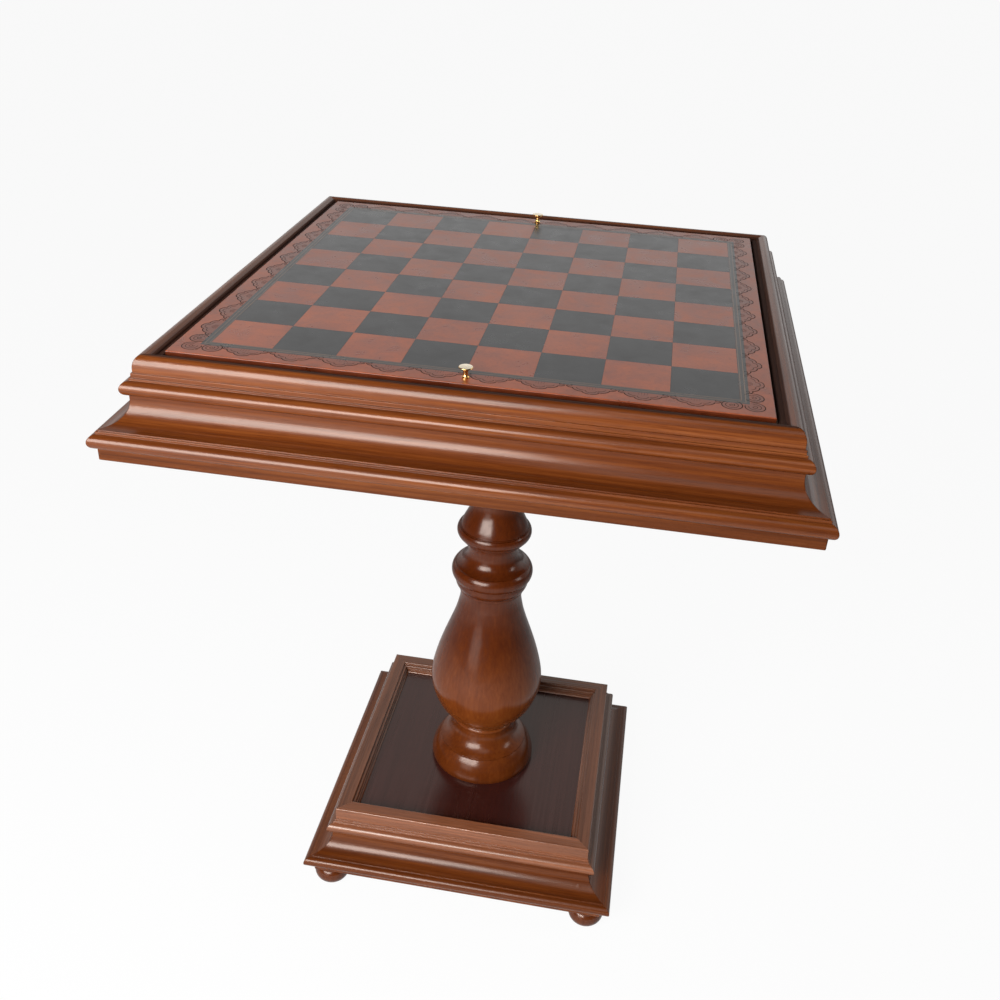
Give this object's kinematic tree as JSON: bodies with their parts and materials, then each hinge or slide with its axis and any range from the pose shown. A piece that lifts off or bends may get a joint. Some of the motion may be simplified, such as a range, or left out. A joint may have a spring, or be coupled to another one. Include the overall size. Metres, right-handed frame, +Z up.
{
  "type": "chess table",
  "caption": "Square pedestal chess table with mitred mouldings, a turned column and a board that lifts out by two knobs to open a shallow box",
  "frame": {"origin": "on the floor under the middle of the table", "axes": "+Z up, the front edge with a knob faces -Y, +X to the right seen from the front"},
  "size_m": [0.5456, 0.5456, 0.6532],
  "materials": {
    "walnut_stained_wood": "satin lacquer",
    "dark_wood": "satin lacquer",
    "plain_wood": "raw",
    "light_leathercloth": "gloss",
    "dark_leathercloth": "gloss",
    "felt": "matte",
    "knob_brass": "polished",
    "screw_steel": "zinc plated",
    "zinc_steel": "zinc plated"
  },
  "bodies": {
    "table": {"base_board": "plain_wood", "base_board_screws": "screw_steel", "base_cove_front": "walnut_stained_wood", "base_cove_left": "walnut_stained_wood", "base_cove_rear": "walnut_stained_wood", "base_cove_right": "walnut_stained_wood", "base_panel": "dark_wood", "base_rail_front": "walnut_stained_wood", "base_rail_left": "walnut_stained_wood", "base_rail_rear": "walnut_stained_wood", "base_rail_right": "walnut_stained_wood", "bottom_panel": "walnut_stained_wood", "bottom_panel_screws": "screw_steel", "bun_foot_front_left": "walnut_stained_wood", "bun_foot_front_right": "walnut_stained_wood", "bun_foot_rear_left": "walnut_stained_wood", "bun_foot_rear_right": "walnut_stained_wood", "carcass_front": "plain_wood", "carcass_left": "plain_wood", "carcass_rear": "plain_wood", "carcass_right": "plain_wood", "column": "walnut_stained_wood", "core_block": "plain_wood", "core_block_screws": "screw_steel", "corner_block_front_left": "plain_wood", "corner_block_front_right": "plain_wood", "corner_block_rear_left": "plain_wood", "corner_block_rear_right": "plain_wood", "floor_lining": "felt", "foot_glides": "felt", "mounting_plate": "walnut_stained_wood", "mounting_plate_screws": "screw_steel", "tie_rod": "zinc_steel", "tie_rod_nuts": "zinc_steel", "tie_rod_washers": "zinc_steel", "top_cove_front": "walnut_stained_wood", "top_cove_left": "walnut_stained_wood", "top_cove_rear": "walnut_stained_wood", "top_cove_right": "walnut_stained_wood", "top_rail_front": "walnut_stained_wood", "top_rail_left": "walnut_stained_wood", "top_rail_rear": "walnut_stained_wood", "top_rail_right": "walnut_stained_wood", "wall_lining_front": "felt", "wall_lining_left": "felt", "wall_lining_rear": "felt", "wall_lining_right": "felt"},
    "board": {"board_core": "plain_wood", "board_backing": "felt", "board_border": "light_leathercloth", "light_squares": "light_leathercloth", "dark_squares": "dark_leathercloth", "knob_front": "knob_brass", "knob_rear": "knob_brass", "knob_screws": "screw_steel"}
  },
  "joints": [
    {"name": "board_lift", "type": "slide", "parent": "table", "child": "board", "axis": [0, 0, 1], "range_m": [0, 0.15]}
  ]
}
